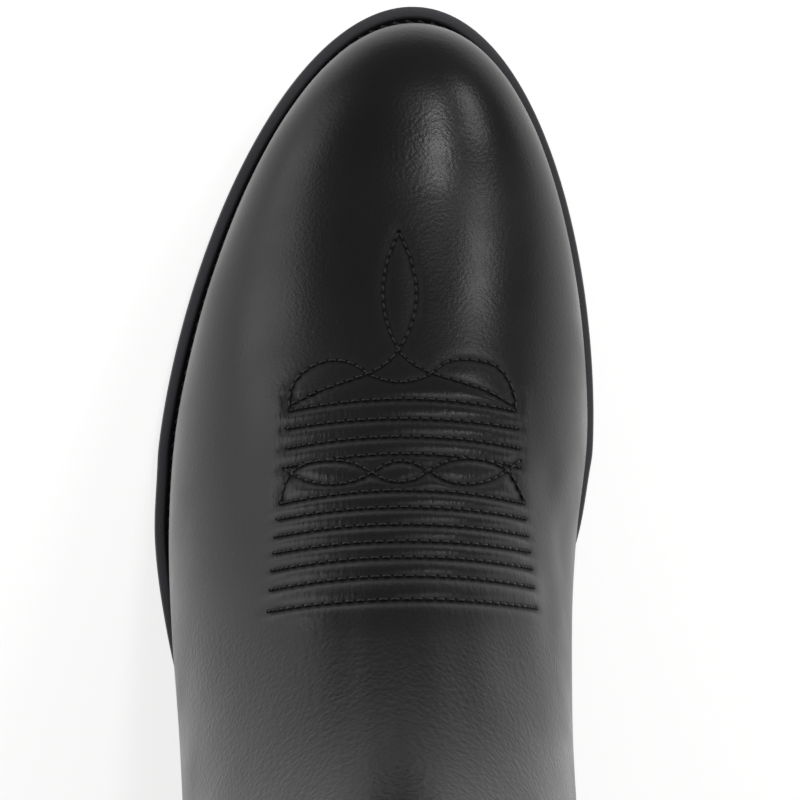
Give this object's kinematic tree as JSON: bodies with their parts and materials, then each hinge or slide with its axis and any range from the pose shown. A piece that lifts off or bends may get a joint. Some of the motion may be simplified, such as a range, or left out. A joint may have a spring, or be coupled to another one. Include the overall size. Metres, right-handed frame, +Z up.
{
  "type": "cowboy boot",
  "caption": "Left leather cowboy boot with a round-pointed toe, stitched welt, stacked heel, scalloped shaft and pull straps.",
  "frame": {"origin": "middle of the bounding box, on the ground", "axes": "+Z up; -Y towards the toe; +X towards the outer (lateral) side of the left foot"},
  "size_m": [0.1106, 0.3118, 0.36],
  "materials": {
    "black_leather": "polished smooth full grain",
    "shaft_leather": "polished smooth full grain",
    "lining_leather": "matt, natural",
    "insole_leather": "matt, vegetable tanned",
    "welt_leather": "inked, satin",
    "sole_leather": "satin, black inked edge",
    "heel_leather": "inked and waxed edge",
    "fibreboard": "matt leatherboard",
    "canvas": "matt woven",
    "thread": "waxed",
    "cork": "granular",
    "rubber": "matt",
    "steel": "tempered strip",
    "brass": "bright"
  },
  "bodies": {
    "foot": {"vamp": "black_leather", "counter_cover": "black_leather", "vamp_lining": "lining_leather", "toe_box": "fibreboard", "vamp_interlining": "canvas", "counter_stiffener": "fibreboard", "insole": "insole_leather", "sock_lining": "lining_leather", "insole_rib": "canvas", "welt": "welt_leather", "welt_thread": "thread", "heel_rand": "welt_leather", "cork_filler": "cork", "steel_shank": "steel", "shank_cover": "fibreboard", "outsole": "sole_leather", "heel_lift_1": "heel_leather", "heel_lift_2": "heel_leather", "heel_lift_3": "heel_leather", "heel_lift_4": "heel_leather", "heel_lift_5": "heel_leather", "heel_cap": "rubber", "heel_nail_1": "brass", "heel_nail_2": "brass", "heel_nail_3": "brass", "heel_nail_4": "brass", "heel_nail_5": "brass"},
    "shaft": {"front_shaft_panel": "shaft_leather", "back_shaft_panel": "shaft_leather", "front_shaft_lining": "lining_leather", "back_shaft_lining": "lining_leather", "side_piping_lateral": "black_leather", "side_piping_medial": "black_leather", "top_binding": "black_leather"},
    "lateral_strap": {"pull_strap_lateral": "shaft_leather"},
    "medial_strap": {"pull_strap_medial": "shaft_leather"}
  },
  "joints": [
    {"name": "ankle_flex", "type": "hinge", "parent": "foot", "child": "shaft", "pos_m": [0, 0.08, 0.145], "axis": [1, 0, 0], "range_deg": [-6, 15], "stiffness_Nm_per_rad": 4, "deforming": ["front_shaft_panel", "back_shaft_panel", "front_shaft_lining", "back_shaft_lining", "side_piping_lateral", "side_piping_medial"]},
    {"name": "lateral_strap_swing", "type": "hinge", "parent": "shaft", "child": "lateral_strap", "pos_m": [0.047, 0.084, 0.338], "axis": [0, 1, 0], "range_deg": [-20, 20], "stiffness_Nm_per_rad": 0.04, "deforming": ["pull_strap_lateral"]},
    {"name": "medial_strap_swing", "type": "hinge", "parent": "shaft", "child": "medial_strap", "pos_m": [-0.047, 0.084, 0.338], "axis": [0, 1, 0], "range_deg": [-20, 20], "stiffness_Nm_per_rad": 0.04, "deforming": ["pull_strap_medial"]}
  ]
}
